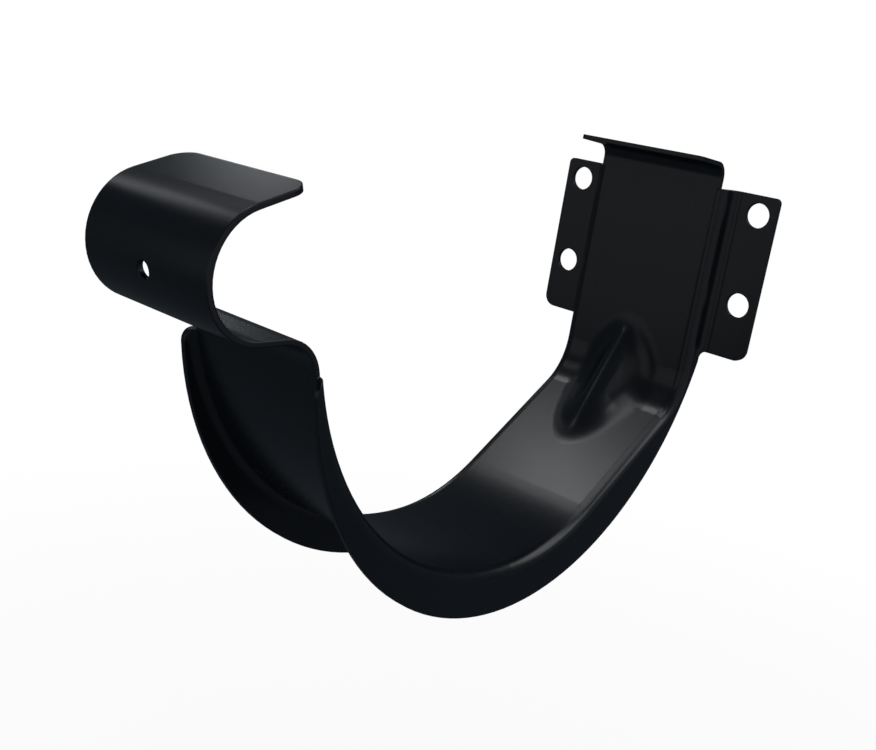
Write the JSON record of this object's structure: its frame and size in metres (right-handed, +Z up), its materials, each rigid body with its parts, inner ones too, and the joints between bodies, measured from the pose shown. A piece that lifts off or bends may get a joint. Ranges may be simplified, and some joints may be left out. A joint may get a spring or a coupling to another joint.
{
  "type": "gutter bracket",
  "caption": "Pressed sheet steel bracket that screws to a wall and carries a half-round gutter in a flanged cradle, with a front hook and a rear lip.",
  "frame": {"origin": "middle of the four screw holes, on the plane of the wall", "axes": "X along the gutter, -Y away from the wall, +Z up"},
  "size_m": [0.0574, 0.1456, 0.0949],
  "materials": {
    "coated_steel": "satin black coating"
  },
  "bodies": {
    "root": {"bracket": "coated_steel"}
  },
  "joints": []
}
